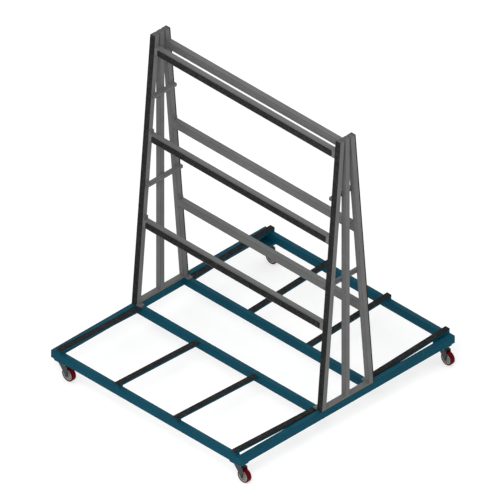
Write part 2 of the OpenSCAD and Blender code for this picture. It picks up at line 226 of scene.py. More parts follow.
petrol_coat = powder_coat("petrol_powder_coat", "#024658", "#024253", "#5F7478", 0.05)


def new_shape():
    """An empty shape whose faces can be marked as edges, for wear and painted edge shade"""
    shape = bmesh.new()
    shape.faces.layers.float.new("edge")
    return shape


def edges_along(shape, axis):
    """Edges that run along X, Y or Z, given as 0, 1 or 2"""
    return [e for e in shape.edges
            if abs((e.verts[1].co - e.verts[0].co).normalized()[axis]) > 0.9]


def soften(shape, edges, width, steps=2):
    """Rounds these edges, and marks the new faces as edges, for wear and painted edge shade"""
    made = bmesh.ops.bevel(shape, geom=edges, offset=width, offset_type="OFFSET",
                           segments=steps, profile=0.5, affect="EDGES", material=-1,
                           clamp_overlap=True)
    worn = shape.faces.layers.float["edge"]
    for face in made["faces"]:
        face[worn] = 1.0
    return shape


def block(low, high):
    """A plain box between two corners"""
    shape = new_shape()
    low, high = Vector(low), Vector(high)
    bmesh.ops.create_cube(shape, size=1)
    bmesh.ops.scale(shape, vec=high - low, verts=shape.verts)
    bmesh.ops.translate(shape, vec=(high + low) / 2, verts=shape.verts)
    return shape


def tube(low, high, axis, radius=TUBE_RADIUS):
    """A rectangular tube between two corners, with closed ends and round long edges"""
    shape = block(low, high)
    return soften(shape, edges_along(shape, axis), radius, 4)


def cut(shape, point, normal):
    """Cuts off what lies beyond a plane, and closes the cut with a face marked as its rim is,
    for wear and painted edge shade
    """
    everything = [*shape.verts, *shape.edges, *shape.faces]
    made = bmesh.ops.bisect_plane(shape, geom=everything, dist=1e-6, plane_co=point,
                                  plane_no=normal, clear_outer=True)
    rim = [g for g in made["geom_cut"] if isinstance(g, bmesh.types.BMEdge)]
    worn = shape.faces.layers.float["edge"]
    for face in bmesh.ops.holes_fill(shape, edges=rim, sides=0)["faces"]:
        face[worn] = max(beside[worn] for edge in face.edges for beside in edge.link_faces)
    return shape


def moved(shape, spot):
    """The shape moved by a matrix"""
    bmesh.ops.transform(shape, matrix=spot, verts=shape.verts)
    return shape


def put_into(whole, shape, spot=Matrix()):
    """Puts a copy of a shape, moved by a matrix, into a larger one"""
    copy = bpy.data.meshes.new("copy")
    shape.to_mesh(copy)
    copy.transform(spot)
    whole.from_mesh(copy)
    bpy.data.meshes.remove(copy)


def finish_piece(name, parts, material, stands_for=(), body="trolley"):
    """Makes a piece of shapes, each with the spots of its copies, and hangs it on its body"""
    mesh = bpy.data.meshes.new(name)
    whole = new_shape()
    for shape, spots in parts:
        for spot in spots:
            put_into(whole, shape, spot)
        shape.free()
    bmesh.ops.recalc_face_normals(whole, faces=whole.faces)
    whole.to_mesh(mesh)
    whole.free()
    mesh.shade_smooth()
    mesh.set_sharp_from_angle(angle=math.radians(35))
    mesh.materials.append(material)
    piece = bpy.data.objects.new(name, mesh)
    bpy.context.scene.collection.objects.link(piece)
    evened = piece.modifiers.new("even_normals", "WEIGHTED_NORMAL")
    evened.keep_sharp = True
    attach(piece, body)
    if stands_for:
        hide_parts(*stands_for)
    return piece


# The right rear quarter is drawn, and the others are its mirror images
HERE = Matrix()
TO_FRONT = Matrix.Scale(-1, 4, (0, 1, 0))
TO_LEFT = Matrix.Translation((TWICE_MIDDLE, 0, 0)) @ Matrix.Scale(-1, 4, (1, 0, 0))
SIDES = {"front": TO_FRONT, "rear": HERE}
ENDS = {"left": TO_LEFT, "right": HERE}
EVERYWHERE = [end @ side for end in ENDS.values() for side in SIDES.values()]

# Each outer beam's length, how far the base reaches across it, and how far it is turned
BEAM_RUNS = {"front": (BASE_LEN, BASE_W, 0), "right": (BASE_W, BASE_LEN, 90),
             "rear": (BASE_LEN, BASE_W, 180), "left": (BASE_W, BASE_LEN, 270)}
for where, (run, across, turn) in BEAM_RUNS.items():
    beam = tube((-run / 2, -across / 2, -BEAM_H), (run / 2, BEAM_W - across / 2, 0), 0)
    for way in (-1, 1):
        cut(beam, (way * run / 2, -across / 2, 0), (way, 1, 0))
    spot = Matrix.Translation(BASE_MIDDLE) @ Matrix.Rotation(math.radians(turn), 4, "Z")
    finish_piece(f"base_{where}_beam_coated", [(beam, [spot])], petrol_coat,
                 [f"base_{where}_beam"])

inner_half = BASE_LEN / 2 - BEAM_W
for side, to_side in SIDES.items():
    beam = tube((-inner_half, INNER_BEAM_Y - BEAM_W / 2, -BEAM_H),
                (inner_half, INNER_BEAM_Y + BEAM_W / 2, 0), 0)
    beam = moved(beam, Matrix.Translation(BASE_MIDDLE))
    finish_piece(f"inner_{side}_beam_coated", [(beam, [to_side])], petrol_coat,
                 [f"inner_{side}_beam"])


# ---------------------------------------------------------------- Support bars
# Eight flat steel tubes, 40 x 15 mm, that slope down from a wedge on the outer beam to the
# inner beam, four on each side. They are welded on and coated with the base.
BAR_W, BAR_H, BAR_RADIUS = 0.040, 0.015, 0.0015
BAR_RISE, STRIP_T = 0.0335, 0.008
FIRST_BAR, BAR_PITCH = BASE_MIDDLE.x - 0.837, 0.5446667
BAR_STARTS = [FIRST_BAR + step * BAR_PITCH for step in range(4)]
INNER_FACE_Y = INNER_BEAM_Y + BEAM_W / 2
BAR_RUN = BASE_W / 2 - INNER_FACE_Y
# The bars, and their strips too, are drawn longer than their run and then cut
UNCUT_FROM, UNCUT_TO = -1.1 * BAR_RUN, 0.05

bar_fall = math.atan(BAR_RISE / BAR_RUN)
bar_frame = (Matrix.Translation((0, BASE_W / 2, BASE_TOP + BAR_RISE))
             @ Matrix.Rotation(bar_fall, 4, "X"))


def between_beams(shape):
    """Cuts a sloping bar or strip at the outer edge of the base and at the inner beam"""
    cut(shape, (0, BASE_W / 2, 0), (0, 1, 0))
    return cut(shape, (0, INNER_FACE_Y, 0), (0, -1, 0))


for side, to_side in SIDES.items():
    for number, start in enumerate(BAR_STARTS, 1):
        bar = tube((start, UNCUT_FROM, -STRIP_T - BAR_H), (start + BAR_W, UNCUT_TO, -STRIP_T),
                   1, BAR_RADIUS)
        bar = between_beams(moved(bar, bar_frame))
        finish_piece(f"{side}_bar_{number}_coated", [(bar, [to_side])], petrol_coat,
                     [f"{side}_bar_{number}"])

under_bar = bar_frame @ Vector((0, 0, -STRIP_T - BAR_H))
bar_up = bar_frame.to_3x3() @ Vector((0, 0, 1))
riser_parts = []
for start in BAR_STARTS:
    riser = block((start, BASE_W / 2 - BEAM_W, BASE_TOP),
                  (start + BAR_W, BASE_W / 2, BASE_TOP + BAR_RISE))
    cut(riser, under_bar, bar_up)
    soften(riser, edges_along(riser, 2), BAR_RADIUS)
    riser_parts.append((riser, SIDES.values()))
finish_piece("bar_risers_coated", riser_parts, petrol_coat, ["bar_risers"])


# ---------------------------------------------------------------- Rubber on the bars
# Black rubber strips, 8 mm thick, extruded with shallow grooves along them and bonded to the
# top of each support bar, so that glass stands on them without slipping.
RIBS = 7
GROOVE_W, GROOVE_D = 0.0016, 0.0011
STRIP_CORNER = 0.0012
UNCUT_STRIP = 1.15 * BAR_RUN
# Slack for telling which points and faces lie on a surface
TINY = 0.00001


# EPDM rubber, extruded: dull black with a grey bloom and paler scuffs along its ribs.
def soft_rubber(name, colour, bloom):
    material, tree, edge = surface(name)
    haze = patches(tree, size=0.09, detail=4, within=(0.35, 0.75))
    skin = add(tree, "Mix", {0: haze, 6: linear(colour), 7: linear(bloom)}, data_type="RGBA")
    # Rubber crumb is under 1 mm, drawn as 6 mm to show at all
    crumb = patches(tree, size=0.006, detail=1, within=(0.35, 0.65), values=(0.88, 1.12))
    shade = add(tree, "CombineColor", {0: crumb, 1: crumb, 2: crumb})
    skin = add(tree, "Mix", {0: 1.0, 6: skin, 7: shade}, data_type="RGBA",
               blend_type="MULTIPLY")
    scraped = patches(tree, size=0.02, detail=4, within=(0.45, 0.75), values=(0.0, 0.2))
    scuff = add(tree, "Math", {0: edge, 1: scraped}, operation="MULTIPLY")
    skin = add(tree, "Mix", {0: scuff, 6: skin, 7: linear("#6A6A68")}, data_type="RGBA")
    dull = patches(tree, size=0.015, detail=2, within=(0.3, 0.7), values=(0.72, 0.88))
    finish_surface(tree, {
        "Base Color": skin, "IOR": 1.52, "Specular IOR Level": 0.03, "Roughness": dull,
        "Normal": bumps(tree, size=0.0012, detail=3, strength=0.3, height=0.0003)})
    return material


black_epdm = soft_rubber("black_epdm_rubber", "#232424", "#2A2B2A")


def ribbed_strip(length, width, thick):
    """A strip along Z with its grooved face at y = thick, drawn as a profile and extruded"""
    shape = new_shape()
    pitch = width / RIBS
    outline = [(-width / 2, 0), (-width / 2, thick)]
    for rib in range(1, RIBS):
        x = rib * pitch - width / 2
        outline += [(x - GROOVE_W / 2, thick), (x - GROOVE_W / 4, thick - GROOVE_D),
                    (x + GROOVE_W / 4, thick - GROOVE_D), (x + GROOVE_W / 2, thick)]
    outline += [(width / 2, thick), (width / 2, 0)]
    face = shape.faces.new([shape.verts.new((x, y, 0)) for x, y in outline])
    grown = bmesh.ops.extrude_face_region(shape, geom=[face])["geom"]
    bmesh.ops.translate(shape, vec=(0, 0, length),
                        verts=[g for g in grown if isinstance(g, bmesh.types.BMVert)])
    worn = shape.faces.layers.float["edge"]
    for face in shape.faces:
        face[worn] = 1.0 if face.calc_center_median().y > thick - TINY else 0.0
    corners = [e for e in edges_along(shape, 2)
               if all(abs(v.co.x) > width / 2 - TINY for v in e.verts)
               and all(v.co.y > thick - TINY for v in e.verts)]
    return soften(shape, corners, STRIP_CORNER)


# Lays a strip down: its length from Z to Y, and its grooved face from Y to Z
LIE_DOWN = Matrix(((1, 0, 0, 0), (0, 0, 1, 0), (0, 1, 0, 0), (0, 0, 0, 1)))

strip_parts = []
for start in BAR_STARTS:
    on_bar = Matrix.Translation((start + BAR_W / 2, UNCUT_FROM, -STRIP_T)) @ LIE_DOWN
    strip = moved(ribbed_strip(UNCUT_STRIP, BAR_W, STRIP_T), bar_frame @ on_bar)
    strip_parts.append((between_beams(strip), SIDES.values()))
finish_piece("bar_strips_ribbed", strip_parts, black_epdm, ["bar_strips"])


# ---------------------------------------------------------------- Side frames
# Two A-shaped frames of 40 x 40 x 3 mm steel tube: a leaning leg on each side, an upright post
# between them, a flat bar that joins their feet, and two tie tubes behind the rails.
LEG, WALL, OPEN_DEPTH, SLIVER = 0.040, 0.003, 0.012, 0.00002
FRAME_H, FOOT_Y, TOP_Y = 2.0855, 0.240, 0.067
FRAME_TOP = BASE_TOP + FRAME_H
# The side of the right frame's tubes that faces the left frame
LEG_X = BASE_MIDDLE.x + BASE_LEN / 2 - LEG
UNCUT_LOW, UNCUT_HIGH = -0.06, 2.2
FOOT_BAR_H, FOOT_BAR_RADIUS = 0.015, 0.001
TIE_W, TIE_H, TIE_RADIUS = 0.030, 0.025, 0.003
TIES = {"lower": BASE_TOP + 0.935, "upper": BASE_TOP + 1.624}

lean = math.atan((FOOT_Y - TOP_Y) / FRAME_H)
lean_frame = Matrix.Translation((0, FOOT_Y, BASE_TOP)) @ Matrix.Rotation(lean, 4, "X")
lean_out = lean_frame.to_3x3() @ Vector((0, 1, 0))

grey_coat = powder_coat("grey_powder_coat", "#696A69", "#626362", "#8C8C88", 0.12)


def hollow_end(shape, outward):
    """Opens a tube's closed end, to the depth that shows above its insert"""
    end = max(shape.faces, key=lambda f: (f.normal.dot(Vector(outward)) > 0.9)
              * f.calc_center_median().dot(Vector(outward)))
    bmesh.ops.inset_region(shape, faces=[end], thickness=WALL, depth=0, use_even_offset=True)
    bmesh.ops.inset_region(shape, faces=[end], thickness=SLIVER, depth=-OPEN_DEPTH)
    return shape


def between_heights(shape):
    """Cuts a leaning tube or strip level at the base and at the top of the frames"""
    cut(shape, (0, 0, BASE_TOP), (0, 0, -1))
    return cut(shape, (0, 0, FRAME_TOP), (0, 0, 1))


def half_spread(z):
    """Half the distance across the legs' outer faces at a height"""
    return FOOT_Y - (z - BASE_TOP) * math.tan(lean)


inner_face = lean_frame @ Vector((0, -LEG, 0))
for end, to_end in ENDS.items():
    for side, to_side in SIDES.items():
        leg = tube((LEG_X, -LEG, UNCUT_LOW), (LEG_X + LEG, 0, UNCUT_HIGH), 2)
        leg = hollow_end(between_heights(moved(leg, lean_frame)), (0, 0, 1))
        finish_piece(f"{end}_{side}_leg_coated", [(leg, [to_end @ to_side])], grey_coat,
                     [f"{end}_{side}_leg"])

    post = tube((LEG_X, -LEG / 2, BASE_TOP + FOOT_BAR_H), (LEG_X + LEG, LEG / 2, FRAME_TOP), 2)
    finish_piece(f"{end}_post_coated", [(hollow_end(post, (0, 0, 1)), [to_end])], grey_coat,
                 [f"{end}_post"])

    foot = block((LEG_X, -FOOT_Y, BASE_TOP), (LEG_X + LEG, FOOT_Y, BASE_TOP + FOOT_BAR_H))
    cut(foot, inner_face, lean_out)
    cut(foot, TO_FRONT @ inner_face, TO_FRONT.to_3x3() @ lean_out)
    soften(foot, edges_along(foot, 1), FOOT_BAR_RADIUS)
    finish_piece(f"{end}_foot_bar_coated", [(foot, [to_end])], grey_coat,
                 [f"{end}_foot_bar"])

    for level, z in TIES.items():
        reach = half_spread(z)
        tie = tube((LEG_X - TIE_W, -reach, z - TIE_H / 2), (LEG_X, reach, z + TIE_H / 2), 1,
                   TIE_RADIUS)
        hollow_end(hollow_end(tie, (0, 1, 0)), (0, -1, 0))
        finish_piece(f"{end}_{level}_tie_coated", [(tie, [to_end])], grey_coat,
                     [f"{end}_{level}_tie"])


# ---------------------------------------------------------------- Rails
# Six 60 x 40 x 3 mm steel tubes, three on each side, between the legs of the two side frames.
# They lie in the plane of the leaning legs and carry the goods' weight at the back.
RAIL_H, RAIL_LEFT = 0.060, TWICE_MIDDLE - LEG_X
FIRST_RAIL, LAST_RAIL = 0.640, FRAME_H / math.cos(lean) - 0.1127
RAILS = {"lower": FIRST_RAIL, "middle": (FIRST_RAIL + LAST_RAIL) / 2, "upper": LAST_RAIL}

for side, to_side in SIDES.items():
    for level, centre in RAILS.items():
        rail = tube((RAIL_LEFT, -LEG, centre - RAIL_H / 2), (LEG_X, 0, centre + RAIL_H / 2), 0)
        finish_piece(f"{side}_{level}_rail_coated", [(moved(rail, lean_frame), [to_side])],
                     grey_coat, [f"{side}_{level}_rail"])


# ---------------------------------------------------------------- Rubber on the side frames
# The same rubber strip down the outer face of every leg, and along every rail, where it stops
# short of the legs.
UNCUT_LEG_STRIP, RAIL_STRIP_W, RAIL_STRIP_GAP = 2.25, 0.040, 0.035

on_leg = lean_frame @ Matrix.Translation((LEG_X + LEG / 2, 0, UNCUT_LOW))
leg_strip = between_heights(moved(ribbed_strip(UNCUT_LEG_STRIP, LEG, STRIP_T), on_leg))
strip_parts = [(leg_strip, EVERYWHERE)]
for centre in RAILS.values():
    on_rail = (lean_frame @ Matrix.Translation((RAIL_LEFT + RAIL_STRIP_GAP, 0, centre))
               @ Matrix.Rotation(math.pi / 2, 4, "Y"))
    rail_strip = ribbed_strip(LEG_X - RAIL_LEFT - 2 * RAIL_STRIP_GAP, RAIL_STRIP_W, STRIP_T)
    strip_parts.append((moved(rail_strip, on_rail), SIDES.values()))
finish_piece("frame_strips_ribbed", strip_parts, black_epdm, ["frame_strips"])


# ---------------------------------------------------------------- Lugs and tabs
# Small plates of flat steel, coated with the side frames. The tabs are welded to the legs and
# bolted to the inner beams. The lugs are welded on the lower and middle rails and bolted to
# the legs.
TAB_LEN, TAB_T = 0.040, 0.008
TAB_TOP = BASE_TOP + TAB_T
LUG_H, LUG_T = 0.022, 0.012
CORNER, EASED = 0.004, 0.0008


def sharp_edges(shape):
    """Edges where the surface turns by more than 60 degrees"""
    least = math.radians(60)
    return [e for e in shape.edges if e.is_manifold and e.calc_face_angle(0) > least]


def beyond(edges, axis, place):
    """Those of the edges that lie wholly beyond a place on X, Y or Z"""
    return [e for e in edges if all(v.co[axis] > place for v in e.verts)]


tab = block((LEG_X - TAB_LEN, INNER_BEAM_Y - BEAM_W / 2, BASE_TOP),
            (LEG_X, INNER_BEAM_Y + BEAM_W / 2, TAB_TOP))
at_leg = beyond(tab.edges, 0, LEG_X - TAB_LEN / 2)
soften(tab, [e for e in edges_along(tab, 2) if e not in at_leg], CORNER, 3)
soften(tab, beyond(sharp_edges(tab), 2, TAB_TOP - TINY), EASED)
lug_parts = [(tab, EVERYWHERE)]
for level in ("lower", "middle"):
    foot_z = RAILS[level] + RAIL_H / 2
    lug = block((LEG_X - LUG_T, -LEG, foot_z), (LEG_X, 0, foot_z + LUG_H))
    soften(lug, beyond(edges_along(lug, 0), 2, foot_z + LUG_H / 2), CORNER, 3)
    lug_parts.append((moved(lug, lean_frame), EVERYWHERE))
finish_piece("frame_lugs_coated", lug_parts, grey_coat, ["frame_lugs"])


# ---------------------------------------------------------------- Bolts
# Zinc-plated hexagon bolts: M10 down through the tabs into the inner beams, and M8 through the
# lugs into the legs, each with its nut inside the tube.
# The radius of the thread, the width across the flats, and the heights of head and nut
M8_R, M8_FLATS, M8_HEAD, M8_NUT = 0.004, 0.013, 0.0053, 0.0065
M10_R, M10_FLATS, M10_HEAD, M10_NUT = 0.005, 0.016, 0.0064, 0.008
PAST_NUT, THREAD_TAPER, NUT_CHAMFER = 0.002, 0.001, 0.07
WASHER_T, UNDER_HEAD, MARK_H = 0.0006, 0.0004, 0.0003


# Zinc plating on steel, left bright on bolts and passivated to a darker grey on pressed parts:
# a crystalline mottle, with its edges rubbed bright.
def zinc_plate(name, colour, dull_colour):
    material, tree, edge = surface(name)
    mottle = patches(tree, size=0.008, detail=4, within=(0.35, 0.65))
    metal = add(tree, "Mix", {0: mottle, 6: linear(colour), 7: linear(dull_colour)},
                data_type="RGBA")
    bright = add(tree, "Math", {0: edge, 1: 0.35}, operation="MULTIPLY")
    metal = add(tree, "Mix", {0: bright, 6: metal, 7: linear("#C9CBCC")}, data_type="RGBA")
    rough = patches(tree, size=0.005, detail=3, within=(0.3, 0.7), values=(0.34, 0.5))
    finish_surface(tree, {
        "Base Color": metal, "Metallic": 1.0, "Roughness": rough,
        "Normal": bumps(tree, size=0.0015, detail=2, strength=0.2, height=0.0001)})
    return material


bright_zinc = zinc_plate("zinc_plated_steel", "#606364", "#525557")
grey_zinc = zinc_plate("grey_passivated_zinc", "#484C4C", "#3C4040")
dark_zinc = zinc_plate("dark_passivated_zinc", "#323636", "#272A2B")


def turned(outline, steps):
    """A closed outline of (radius, height) points turned round Z"""
    shape = new_shape()
    verts = [shape.verts.new((r, 0, z)) for r, z in outline]
    edges = [shape.edges.new(pair) for pair in zip(verts, verts[1:] + verts[:1])]
    bmesh.ops.spin(shape, geom=[*verts, *edges], cent=(0, 0, 0), axis=(0, 0, 1),
                   angle=math.tau, steps=steps, use_merge=True, use_duplicate=False)
    bmesh.ops.remove_doubles(shape, verts=shape.verts, dist=1e-6)
    on_axis = [e for e in shape.edges if not e.link_faces]
    bmesh.ops.delete(shape, geom=on_axis, context="EDGES")
    return shape


def joined(*shapes):
    """One shape of several"""
    whole = shapes[0]
    for shape in shapes[1:]:
        put_into(whole, shape)
        shape.free()
    return whole


def hexagon(flats, low, high):
    """A hexagonal head or nut with its corners chamfered at both ends"""
    shape = new_shape()
    radius = flats / math.sqrt(3)
    bmesh.ops.create_cone(shape, cap_ends=True, segments=6, radius1=radius, radius2=radius,
                          depth=high - low)
    bmesh.ops.translate(shape, vec=(0, 0, (low + high) / 2), verts=shape.verts)
    uprights = edges_along(shape, 2)
    rims = [e for e in shape.edges if e not in uprights]
    return soften(shape, rims, NUT_CHAMFER * flats, 1)


def bolt(thread, flats, head, nut, grip):
    """A bolt with its head on z = 0, and its nut below the parts that it grips"""
    tip = -grip - nut - PAST_NUT
    shank = turned([(0, 0), (thread, 0), (thread, tip + THREAD_TAPER),
                    (thread - THREAD_TAPER, tip), (0, tip)], steps=20)
    washer_r = 0.48 * flats
    washer_face = turned([(0, 0), (washer_r, 0), (washer_r, WASHER_T), (0, WASHER_T)],
                         steps=24)
    mark = turned([(0, head), (0.3 * flats, head), (0.26 * flats, head + MARK_H),
                   (0, head + MARK_H)], steps=24)
    return joined(hexagon(flats, UNDER_HEAD, head), hexagon(flats, -grip - nut, -grip), shank,
                  washer_face, mark)


tab_bolt = moved(bolt(M10_R, M10_FLATS, M10_HEAD, M10_NUT, TAB_T + WALL),
                 Matrix.Translation((LEG_X - TAB_LEN / 2, INNER_BEAM_Y, TAB_TOP)))
bolt_parts = [(tab_bolt, EVERYWHERE)]
for level in ("lower", "middle"):
    lug_middle = Vector((LEG_X - LUG_T, -LEG / 2, RAILS[level] + (RAIL_H + LUG_H) / 2))
    lug_bolt = moved(bolt(M8_R, M8_FLATS, M8_HEAD, M8_NUT, LUG_T + WALL),
                     lean_frame @ Matrix.Translation(lug_middle)
                     @ Matrix.Rotation(-math.pi / 2, 4, "Y"))
    bolt_parts.append((lug_bolt, EVERYWHERE))
finish_piece("frame_bolts_plated", bolt_parts, bright_zinc, ["frame_bolts"])


# ---------------------------------------------------------------- Tube inserts
# Black polyethylene inserts, moulded, pushed into the open ends of the legs, posts and ties.
# Each has a shallow dished top with a round edge.
FIT = WALL + 0.0002
INSERT_T, INSERT_RIM, DISH_D, DISH_SLOPE = 0.005, 0.003, 0.0008, 0.001


# A moulded plastic, here polyethylene and, for the wheel centres, polyamide: waxy, with a soft
# sheen, fine scratches, and worn or dusty patches and rims.
def moulded_plastic(name, colour, worn_colour):
    material, tree, edge = surface(name)
    worn = linear(worn_colour)
    patch = patches(tree, size=0.012, detail=3, within=(0.3, 0.7), values=(0.0, 0.5))
    skin = add(tree, "Mix", {0: patch, 6: linear(colour), 7: worn}, data_type="RGBA")
    rim = add(tree, "Math", {0: edge, 1: 0.4}, operation="MULTIPLY")
    skin = add(tree, "Mix", {0: rim, 6: skin, 7: worn}, data_type="RGBA")
    sheen = patches(tree, size=0.004, detail=3, within=(0.3, 0.7), values=(0.4, 0.55),
                    stretch=(1, 6, 1))
    finish_surface(tree, {
        "Base Color": skin, "IOR": 1.51, "Roughness": sheen,
        "Normal": bumps(tree, size=0.0008, detail=2, strength=0.2, height=0.0001)})
    return material


# Low-density polyethylene, moulded: a black that dust has dulled to dark grey.
black_insert = moulded_plastic("black_moulded_polyethylene", "#404141", "#525353")


def insert(width, height, corner):
    """A flat insert whose top is at z = 0, with a round rim and a dished middle"""
    shape = block((-width / 2, -height / 2, -INSERT_T), (width / 2, height / 2, 0))
    soften(shape, edges_along(shape, 2), corner, 3)
    soften(shape, beyond(sharp_edges(shape), 2, -TINY), EASED)
    top = max(shape.faces, key=lambda f: f.calc_center_median().z + f.calc_area())
    bmesh.ops.inset_region(shape, faces=[top], thickness=INSERT_RIM, depth=0)
    bmesh.ops.inset_region(shape, faces=[top], thickness=DISH_SLOPE, depth=-DISH_D)
    return shape


leg_middle = half_spread(FRAME_TOP) - LEG / 2 / math.cos(lean)
post_spot = Matrix.Translation((LEG_X + LEG / 2, 0, FRAME_TOP))
leg_spot = Matrix.Translation((0, leg_middle, 0)) @ post_spot
insert_parts = [(insert(LEG - 2 * FIT, LEG - 2 * FIT, 0.002),
                 [turn @ leg_spot for turn in EVERYWHERE]
                 + [turn @ post_spot for turn in ENDS.values()])]
for z in TIES.values():
    tie_spot = (Matrix.Translation((LEG_X - TIE_W / 2, half_spread(z), z))
                @ Matrix.Rotation(-math.pi / 2, 4, "X"))
    insert_parts.append((insert(TIE_W - 2 * FIT, TIE_H - 2 * FIT, 0.0015),
                         [turn @ tie_spot for turn in EVERYWHERE]))
finish_piece("tube_inserts_moulded", insert_parts, black_insert,
             ["tube_plugs"])


# ---------------------------------------------------------------- Caster pads and bolts
# A thick steel pad is welded under each corner of the base and coated with it. Four M8 bolts
# run up through the caster's plate into the pad.
CASTER_X, CASTER_Y = BASE_MIDDLE.x + 0.819, 0.949
PLATE_L, PLATE_W, PLATE_CORNER, PLATE_EASED = 0.105, 0.080, 0.006, 0.0006
PLATE_Z, PAD_Z, PAD_H = 0.1323, 0.1363, 0.016
BOLT_X, BOLT_Y, BOLT_LEN, WASHER_R = 0.040, 0.030, 0.018, 0.0062

# The wheels trail the same way at both ends, so a left caster is moved and not mirrored
ALONG = {"left": TWICE_MIDDLE - CASTER_X, "right": CASTER_X}
CORNERS = {f"{side}_{end}": to_side @ Matrix.Translation((x, CASTER_Y, 0))
           for side, to_side in SIDES.items() for end, x in ALONG.items()}


def plate(low, high, corner):
    """A flat plate round the swivel axis, with round corners and softened edges"""
    shape = block((-PLATE_L / 2, -PLATE_W / 2, low), (PLATE_L / 2, PLATE_W / 2, high))
    soften(shape, edges_along(shape, 2), corner, 5)
    return soften(shape, sharp_edges(shape), PLATE_EASED)


finish_piece("caster_pads_coated", [(plate(PAD_Z, PAD_Z + PAD_H, CORNER), CORNERS.values())],
             petrol_coat, ["caster_pads"])

plate_bolt = joined(hexagon(M8_FLATS, -M8_HEAD, -UNDER_HEAD),
                    turned([(0, 0), (WASHER_R, 0), (WASHER_R, -WASHER_T), (0, -WASHER_T)],
                           steps=24),
                    turned([(0, 0), (M8_R, 0), (M8_R, BOLT_LEN), (0, BOLT_LEN)], steps=20))
bolt_spots = [corner @ Matrix.Translation((x, y, PLATE_Z)) for corner in CORNERS.values()
              for x in (-BOLT_X, BOLT_X) for y in (-BOLT_Y, BOLT_Y)]
finish_piece("caster_bolts_plated", [(plate_bolt, bolt_spots)], bright_zinc,
             ["caster_bolts"])


# ---------------------------------------------------------------- Swivel casters
# Pressed and zinc-plated steel casters: a top plate with its ball race and a riveted kingpin,
# and under it a fork that swivels, bent from one sheet, with the wheel behind the kingpin.
CROWN_Z, FORK_T, BEND_R, SHEARED = 0.114, 0.004, 0.005, 0.0005
CROWN_TOP = CROWN_Z + FORK_T
FORK_BACK, FORK_FORE, FORK_OUT = -0.024, 0.052, 0.025
TRAIL, AXLE_Z, AXLE_FLATS, BOSS_R = 0.052, 0.050, 0.017, 0.012
RACE_R, RACE_T, RUNNING_GAP = 0.029, 0.002, 0.0003
KINGPIN_R, KINGPIN_HEAD_R, KINGPIN_HOLE_R, KINGPIN_HEAD_T = 0.006, 0.011, 0.0065, 0.004


def touch_point(corner, centre, radius, side):
    """Where a line from a corner touches a circle, as an angle round the circle"""
    away = Vector(centre) - Vector(corner)
    angle = math.atan2(away.y, away.x) + side * (math.asin(radius / away.length) + math.pi / 2)
    return angle % math.tau


def fork_sheet():
    """The fork as one bent sheet: the crown and its two sides, then given its thickness"""
    shape = new_shape()
    axle = (TRAIL, AXLE_Z)
    first = touch_point((FORK_BACK, CROWN_TOP), axle, BOSS_R, -1)
    last = touch_point((FORK_FORE, CROWN_TOP), axle, BOSS_R, 1)
    sweep = (last - first) % math.tau
    angles = [first + sweep * i / 16 for i in range(17)]
    arc = [(TRAIL + BOSS_R * math.cos(a), AXLE_Z + BOSS_R * math.sin(a)) for a in angles]
    outline = [(FORK_BACK, CROWN_TOP), *arc, (FORK_FORE, CROWN_TOP)]
    loops = [[shape.verts.new((x, y, z)) for x, z in outline] for y in (-FORK_OUT, FORK_OUT)]
    shape.faces.new(loops[0])
    shape.faces.new(list(reversed(loops[1])))
    shape.faces.new([loops[0][0], loops[0][-1], loops[1][-1], loops[1][0]])
    bends = [e for e in shape.edges if len(e.link_faces) == 2]
    bmesh.ops.bevel(shape, geom=bends, offset=BEND_R, offset_type="OFFSET", segments=4,
                    profile=0.5, affect="EDGES", material=-1, clamp_overlap=True)

    # The kingpin's hole in the crown
    crown = max(shape.faces, key=lambda f: f.calc_center_median().z)
    rim = list(crown.edges)
    bmesh.ops.delete(shape, geom=[crown], context="FACES_ONLY")
    hole = bmesh.ops.create_circle(shape, cap_ends=False, segments=32, radius=KINGPIN_HOLE_R,
                                   matrix=Matrix.Translation((0, 0, CROWN_TOP)))["verts"]
    rim += {e for v in hole for e in v.link_edges}
    bmesh.ops.triangle_fill(shape, use_beauty=True, edges=rim)

    bmesh.ops.recalc_face_normals(shape, faces=shape.faces)
    if max(shape.faces, key=lambda f: f.calc_center_median().z).normal.z < 0:
        bmesh.ops.reverse_faces(shape, faces=shape.faces)
    bmesh.ops.solidify(shape, geom=shape.faces, thickness=FORK_T)
    return soften(shape, sharp_edges(shape), SHEARED)


def both_halves(half):
    """A wheel part's outline from the half of it that lies above the wheel's middle plane"""
    return [(r, -z) for r, z in half] + half[::-1]


# Polyamide wheel centre, moulded: pale grey, slightly waxy, with darker patches.
pale_nylon = moulded_plastic("pale_grey_moulded_polyamide", "#92938F", "#7E7F7C")


# Polyurethane tread, cast on the hub: dark red and slightly glossy, scuffed and dusty where
# it rolls, and greyer towards the bottom.
def cast_tread(name, colour, deep, dusty):
    material, tree, edge = surface(name)
    patch = patches(tree, size=0.02, detail=4, within=(0.3, 0.7))
    skin = add(tree, "Mix", {0: patch, 6: linear(colour), 7: linear(deep)}, data_type="RGBA")
    scraped = patches(tree, size=0.008, detail=4, within=(0.4, 0.7), values=(0.0, 0.25))
    rolled = add(tree, "Math", {0: edge, 1: scraped}, operation="MULTIPLY")
    height = add(tree, "SeparateXYZ", {0: add(tree, "TexCoord").outputs["Object"]}).outputs[2]
    # Greyer towards the bottom: mixed up to 0.3 towards the grey-brown within 12 mm of the
    # floor
    low_tread_tint = add(tree, "MapRange", {0: height, 1: 0.0, 2: 0.012, 3: 0.3, 4: 0.0})
    grime = add(tree, "Math", {0: rolled, 1: low_tread_tint}, operation="MAXIMUM")
    skin = add(tree, "Mix", {0: grime, 6: skin, 7: linear(dusty)}, data_type="RGBA")
    gloss = patches(tree, size=0.006, detail=3, within=(0.3, 0.7), values=(0.36, 0.5))
    finish_surface(tree, {
        "Base Color": skin, "IOR": 1.5, "Specular IOR Level": 0.04, "Roughness": gloss,
        "Normal": bumps(tree, size=0.0015, detail=3, strength=0.25, height=0.0002)})
    return material


red_tread = cast_tread("dark_red_cast_polyurethane", "#5E0007", "#480006", "#3C2221")

